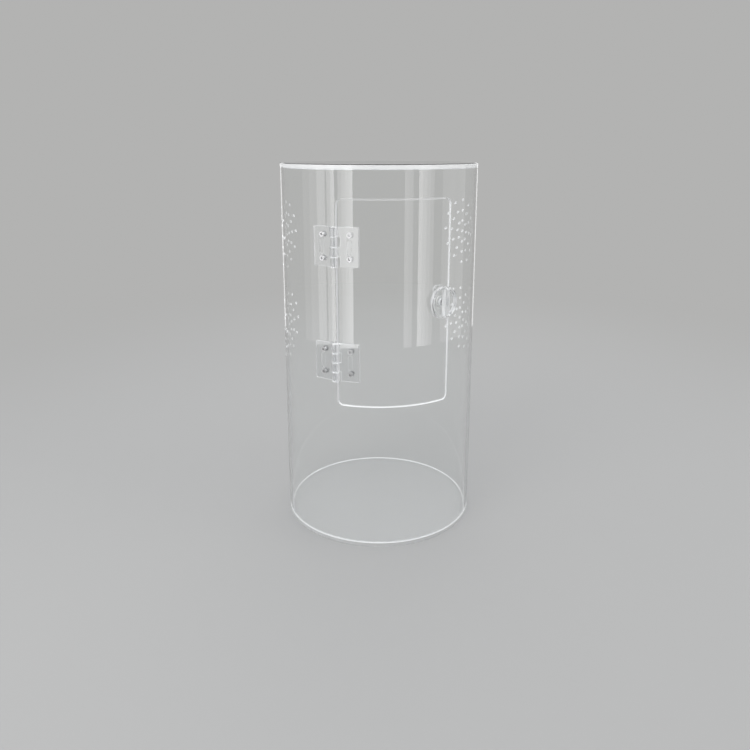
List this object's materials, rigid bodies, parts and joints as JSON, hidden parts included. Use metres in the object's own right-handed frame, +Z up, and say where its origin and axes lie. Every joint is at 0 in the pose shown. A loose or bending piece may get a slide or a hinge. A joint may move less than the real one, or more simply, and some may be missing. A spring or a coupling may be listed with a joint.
{
  "type": "insect terrarium",
  "caption": "Clear acrylic tube terrarium with a curved hinged door, a turn latch and round groups of air holes.",
  "frame": {"origin": "centre of the underside of the base disc", "axes": "+Z up along the tube, door facing -Y, hinges towards -X, latch towards +X"},
  "size_m": [0.2, 0.2, 0.375],
  "materials": {
    "clear_acrylic": "clear acrylic, polished, with matt white sawn edges",
    "clear_hinge": "clear moulded plastic, glossy",
    "clear_latch": "clear moulded plastic, glossy",
    "white_nylon": "milky nylon, satin",
    "steel": "bright stainless steel"
  },
  "bodies": {
    "tube": {"tube_shell": "clear_acrylic", "base_disc": "clear_acrylic", "top_disc": "clear_acrylic", "lower_hinge_tube_leaf": "clear_hinge", "lower_hinge_pin": "clear_hinge", "lower_hinge_tube_screws": "steel", "lower_hinge_tube_nuts": "steel", "upper_hinge_tube_leaf": "clear_hinge", "upper_hinge_pin": "clear_hinge", "upper_hinge_tube_screws": "steel", "upper_hinge_tube_nuts": "steel"},
    "door": {"door_panel": "clear_acrylic", "lower_hinge_door_leaf": "clear_hinge", "lower_hinge_door_screws": "steel", "lower_hinge_door_nuts": "steel", "upper_hinge_door_leaf": "clear_hinge", "upper_hinge_door_screws": "steel", "upper_hinge_door_nuts": "steel"},
    "latch": {"latch_knob": "clear_latch", "latch_spacer": "white_nylon", "latch_cam": "clear_latch", "latch_washer": "steel", "latch_screw": "steel"}
  },
  "joints": [
    {"name": "door_swing", "type": "hinge", "parent": "tube", "child": "door", "pos_m": [-0.05569, -0.08766, 0.2465], "axis": [0, 0, -1], "range_deg": [0, 170]},
    {"name": "latch_turn", "type": "hinge", "parent": "door", "child": "latch", "pos_m": [0.04591, -0.08884, 0.2475], "axis": [0.4591, -0.8884, 0], "range_deg": [0, 90]}
  ]
}
